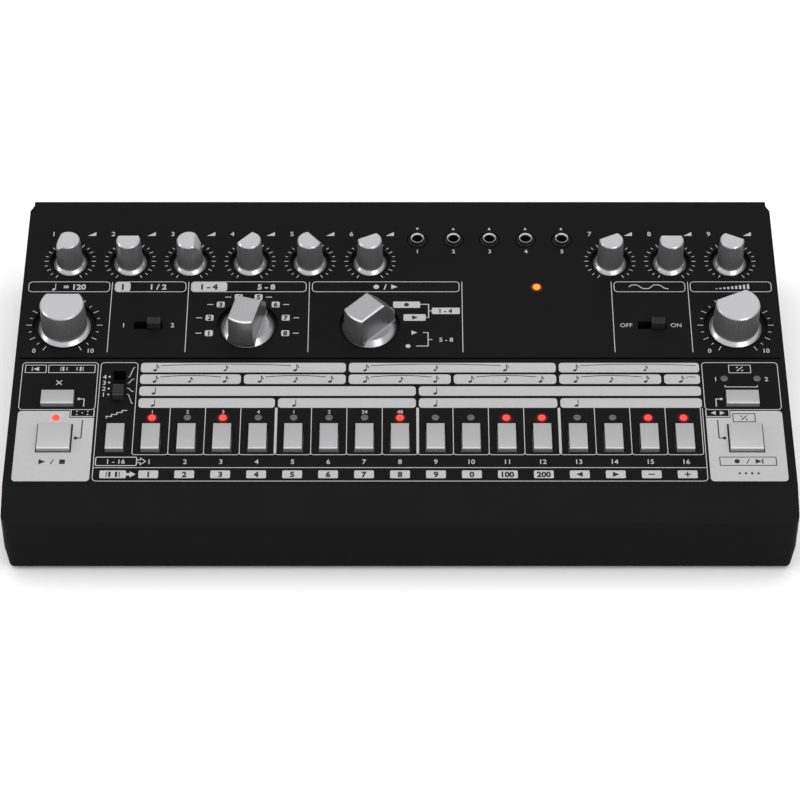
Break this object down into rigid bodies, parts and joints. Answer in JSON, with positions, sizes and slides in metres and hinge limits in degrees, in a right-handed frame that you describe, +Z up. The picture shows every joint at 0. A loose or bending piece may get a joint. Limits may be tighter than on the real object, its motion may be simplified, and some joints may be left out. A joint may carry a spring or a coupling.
{
  "type": "drum machine",
  "caption": "Black desktop drum machine with a sloped panel of knobs, pointer selectors, step keys with lamps, slide switches and jack sockets.",
  "frame": {"origin": "on the surface the feet stand on, at the centre of the case's width and depth", "axes": "+X to the player's right, +Y to the back, +Z up"},
  "size_m": [0.305, 0.165, 0.057],
  "materials": {
    "case_plastic": "fine-textured black moulded plastic, light legends",
    "base_plastic": "textured black moulded plastic",
    "rear_metal": "black powder coat, light legends",
    "knob_plastic": "satin silver-grey moulded plastic, fine flutes",
    "key_plastic": "light grey satin moulded plastic",
    "large_key_plastic": "pale grey satin moulded plastic",
    "slider_plastic": "black ribbed moulded plastic",
    "lamp_red": "clear red lens, lit",
    "lamp_grey": "smoky lens, unlit",
    "lamp_amber": "clear amber lens, lit",
    "socket_plastic": "black moulded sockets with nickel-plated nuts",
    "switch_plastic": "black moulded switch bodies",
    "pot_metal": "stamped steel bodies",
    "board_laminate": "green glass-fibre laminate",
    "ribbon_vinyl": "grey ribbed vinyl",
    "screw_steel": "blackened steel",
    "foot_rubber": "matt black rubber"
  },
  "bodies": {
    "case": {"top_cover": "case_plastic", "bottom_cover": "base_plastic", "rear_plate": "rear_metal", "control_board": "board_laminate", "connector_board": "board_laminate", "ribbon_cable": "ribbon_vinyl", "screws": "screw_steel", "rubber_feet": "foot_rubber", "potentiometers": "pot_metal", "rotary_switches": "switch_plastic", "tact_switches": "switch_plastic", "slide_switches": "pot_metal", "lamps_lit": "lamp_red", "lamps_unlit": "lamp_grey", "power_lamp": "lamp_amber", "panel_jacks": "socket_plastic", "voice_jacks": "socket_plastic", "main_output_jack": "socket_plastic", "data_sockets": "socket_plastic", "square_data_socket": "pot_metal", "power_inlet": "socket_plastic", "power_switch": "pot_metal"},
    "level_knob_1": {"level_knob_1": "knob_plastic"},
    "level_knob_2": {"level_knob_2": "knob_plastic"},
    "level_knob_3": {"level_knob_3": "knob_plastic"},
    "level_knob_4": {"level_knob_4": "knob_plastic"},
    "level_knob_5": {"level_knob_5": "knob_plastic"},
    "level_knob_6": {"level_knob_6": "knob_plastic"},
    "level_knob_7": {"level_knob_7": "knob_plastic"},
    "level_knob_8": {"level_knob_8": "knob_plastic"},
    "level_knob_9": {"level_knob_9": "knob_plastic"},
    "tempo_knob": {"tempo_knob": "knob_plastic"},
    "volume_knob": {"volume_knob": "knob_plastic"},
    "instrument_selector": {"instrument_selector": "knob_plastic"},
    "mode_selector": {"mode_selector": "knob_plastic"},
    "function_key": {"function_key": "key_plastic"},
    "step_key_01": {"step_key_01": "key_plastic"},
    "step_key_02": {"step_key_02": "key_plastic"},
    "step_key_03": {"step_key_03": "key_plastic"},
    "step_key_04": {"step_key_04": "key_plastic"},
    "step_key_05": {"step_key_05": "key_plastic"},
    "step_key_06": {"step_key_06": "key_plastic"},
    "step_key_07": {"step_key_07": "key_plastic"},
    "step_key_08": {"step_key_08": "key_plastic"},
    "step_key_09": {"step_key_09": "key_plastic"},
    "step_key_10": {"step_key_10": "key_plastic"},
    "step_key_11": {"step_key_11": "key_plastic"},
    "step_key_12": {"step_key_12": "key_plastic"},
    "step_key_13": {"step_key_13": "key_plastic"},
    "step_key_14": {"step_key_14": "key_plastic"},
    "step_key_15": {"step_key_15": "key_plastic"},
    "step_key_16": {"step_key_16": "key_plastic"},
    "start_key": {"start_key": "large_key_plastic"},
    "write_key": {"write_key": "large_key_plastic"},
    "clear_key": {"clear_key": "key_plastic"},
    "group_key": {"group_key": "key_plastic"},
    "tone_slider": {"tone_slider": "slider_plastic"},
    "drive_slider": {"drive_slider": "slider_plastic"},
    "scale_slider": {"scale_slider": "slider_plastic"},
    "power_slider": {"power_slider": "slider_plastic"}
  },
  "joints": [
    {"name": "level_knob_1_turn", "type": "hinge", "parent": "case", "child": "level_knob_1", "pos_m": [-0.1342, 0.04776, 0.04373], "axis": [0, -0.0872, 0.9962], "range_deg": [-245, 55]},
    {"name": "level_knob_2_turn", "type": "hinge", "parent": "case", "child": "level_knob_2", "pos_m": [-0.1098, 0.04776, 0.04373], "axis": [0, -0.0872, 0.9962], "range_deg": [-150, 150]},
    {"name": "level_knob_3_turn", "type": "hinge", "parent": "case", "child": "level_knob_3", "pos_m": [-0.0854, 0.04776, 0.04373], "axis": [0, -0.0872, 0.9962], "range_deg": [-60, 240]},
    {"name": "level_knob_4_turn", "type": "hinge", "parent": "case", "child": "level_knob_4", "pos_m": [-0.061, 0.04776, 0.04373], "axis": [0, -0.0872, 0.9962], "range_deg": [-195, 105]},
    {"name": "level_knob_5_turn", "type": "hinge", "parent": "case", "child": "level_knob_5", "pos_m": [-0.0366, 0.04776, 0.04373], "axis": [0, -0.0872, 0.9962], "range_deg": [-100, 200]},
    {"name": "level_knob_6_turn", "type": "hinge", "parent": "case", "child": "level_knob_6", "pos_m": [-0.0122, 0.04776, 0.04373], "axis": [0, -0.0872, 0.9962], "range_deg": [-175, 125]},
    {"name": "level_knob_7_turn", "type": "hinge", "parent": "case", "child": "level_knob_7", "pos_m": [0.0854, 0.04776, 0.04373], "axis": [0, -0.0872, 0.9962], "range_deg": [-175, 125]},
    {"name": "level_knob_8_turn", "type": "hinge", "parent": "case", "child": "level_knob_8", "pos_m": [0.1098, 0.04776, 0.04373], "axis": [0, -0.0872, 0.9962], "range_deg": [-150, 150]},
    {"name": "level_knob_9_turn", "type": "hinge", "parent": "case", "child": "level_knob_9", "pos_m": [0.1342, 0.04776, 0.04373], "axis": [0, -0.0872, 0.9962], "range_deg": [-125, 175]},
    {"name": "tempo_knob_turn", "type": "hinge", "parent": "case", "child": "tempo_knob", "pos_m": [-0.1342, 0.01324, 0.04071], "axis": [0, -0.0872, 0.9962], "range_deg": [-150, 150]},
    {"name": "volume_knob_turn", "type": "hinge", "parent": "case", "child": "volume_knob", "pos_m": [0.1342, 0.01324, 0.04071], "axis": [0, -0.0872, 0.9962], "range_deg": [-175, 125]},
    {"name": "instrument_selector_turn", "type": "hinge", "parent": "case", "child": "instrument_selector", "pos_m": [-0.061, 0.01324, 0.04071], "axis": [0, -0.0872, 0.9962], "range_deg": [-90, 120]},
    {"name": "mode_selector_turn", "type": "hinge", "parent": "case", "child": "mode_selector", "pos_m": [-0.0122, 0.01324, 0.04071], "axis": [0, -0.0872, 0.9962], "range_deg": [-90, 0]},
    {"name": "function_key_press", "type": "slide", "parent": "case", "child": "function_key", "axis": [0, 0.0872, -0.9962], "range_m": [0, 0.0005], "stiffness_N_per_m": 800, "springref_m": -0.001},
    {"name": "step_key_01_press", "type": "slide", "parent": "case", "child": "step_key_01", "axis": [0, 0.0872, -0.9962], "range_m": [0, 0.0005], "stiffness_N_per_m": 800, "springref_m": -0.001},
    {"name": "step_key_02_press", "type": "slide", "parent": "case", "child": "step_key_02", "axis": [0, 0.0872, -0.9962], "range_m": [0, 0.0005], "stiffness_N_per_m": 800, "springref_m": -0.001},
    {"name": "step_key_03_press", "type": "slide", "parent": "case", "child": "step_key_03", "axis": [0, 0.0872, -0.9962], "range_m": [0, 0.0005], "stiffness_N_per_m": 800, "springref_m": -0.001},
    {"name": "step_key_04_press", "type": "slide", "parent": "case", "child": "step_key_04", "axis": [0, 0.0872, -0.9962], "range_m": [0, 0.0005], "stiffness_N_per_m": 800, "springref_m": -0.001},
    {"name": "step_key_05_press", "type": "slide", "parent": "case", "child": "step_key_05", "axis": [0, 0.0872, -0.9962], "range_m": [0, 0.0005], "stiffness_N_per_m": 800, "springref_m": -0.001},
    {"name": "step_key_06_press", "type": "slide", "parent": "case", "child": "step_key_06", "axis": [0, 0.0872, -0.9962], "range_m": [0, 0.0005], "stiffness_N_per_m": 800, "springref_m": -0.001},
    {"name": "step_key_07_press", "type": "slide", "parent": "case", "child": "step_key_07", "axis": [0, 0.0872, -0.9962], "range_m": [0, 0.0005], "stiffness_N_per_m": 800, "springref_m": -0.001},
    {"name": "step_key_08_press", "type": "slide", "parent": "case", "child": "step_key_08", "axis": [0, 0.0872, -0.9962], "range_m": [0, 0.0005], "stiffness_N_per_m": 800, "springref_m": -0.001},
    {"name": "step_key_09_press", "type": "slide", "parent": "case", "child": "step_key_09", "axis": [0, 0.0872, -0.9962], "range_m": [0, 0.0005], "stiffness_N_per_m": 800, "springref_m": -0.001},
    {"name": "step_key_10_press", "type": "slide", "parent": "case", "child": "step_key_10", "axis": [0, 0.0872, -0.9962], "range_m": [0, 0.0005], "stiffness_N_per_m": 800, "springref_m": -0.001},
    {"name": "step_key_11_press", "type": "slide", "parent": "case", "child": "step_key_11", "axis": [0, 0.0872, -0.9962], "range_m": [0, 0.0005], "stiffness_N_per_m": 800, "springref_m": -0.001},
    {"name": "step_key_12_press", "type": "slide", "parent": "case", "child": "step_key_12", "axis": [0, 0.0872, -0.9962], "range_m": [0, 0.0005], "stiffness_N_per_m": 800, "springref_m": -0.001},
    {"name": "step_key_13_press", "type": "slide", "parent": "case", "child": "step_key_13", "axis": [0, 0.0872, -0.9962], "range_m": [0, 0.0005], "stiffness_N_per_m": 800, "springref_m": -0.001},
    {"name": "step_key_14_press", "type": "slide", "parent": "case", "child": "step_key_14", "axis": [0, 0.0872, -0.9962], "range_m": [0, 0.0005], "stiffness_N_per_m": 800, "springref_m": -0.001},
    {"name": "step_key_15_press", "type": "slide", "parent": "case", "child": "step_key_15", "axis": [0, 0.0872, -0.9962], "range_m": [0, 0.0005], "stiffness_N_per_m": 800, "springref_m": -0.001},
    {"name": "step_key_16_press", "type": "slide", "parent": "case", "child": "step_key_16", "axis": [0, 0.0872, -0.9962], "range_m": [0, 0.0005], "stiffness_N_per_m": 800, "springref_m": -0.001},
    {"name": "start_key_press", "type": "slide", "parent": "case", "child": "start_key", "axis": [0, 0.0872, -0.9962], "range_m": [0, 0.0005], "stiffness_N_per_m": 800, "springref_m": -0.001},
    {"name": "write_key_press", "type": "slide", "parent": "case", "child": "write_key", "axis": [0, 0.0872, -0.9962], "range_m": [0, 0.0005], "stiffness_N_per_m": 800, "springref_m": -0.001},
    {"name": "clear_key_press", "type": "slide", "parent": "case", "child": "clear_key", "axis": [0, 0.0872, -0.9962], "range_m": [0, 0.0005], "stiffness_N_per_m": 800, "springref_m": -0.001},
    {"name": "group_key_press", "type": "slide", "parent": "case", "child": "group_key", "axis": [0, 0.0872, -0.9962], "range_m": [0, 0.0005], "stiffness_N_per_m": 800, "springref_m": -0.001},
    {"name": "tone_slider_slide", "type": "slide", "parent": "case", "child": "tone_slider", "axis": [1, 0, 0], "range_m": [-0.0049, 0]},
    {"name": "drive_slider_slide", "type": "slide", "parent": "case", "child": "drive_slider", "axis": [1, 0, 0], "range_m": [-0.0049, 0]},
    {"name": "scale_slider_slide", "type": "slide", "parent": "case", "child": "scale_slider", "axis": [0, 0.9962, 0.0872], "range_m": [0, 0.00915]},
    {"name": "power_slider_slide", "type": "slide", "parent": "case", "child": "power_slider", "axis": [1, 0, 0], "range_m": [-0.004, 0]}
  ]
}
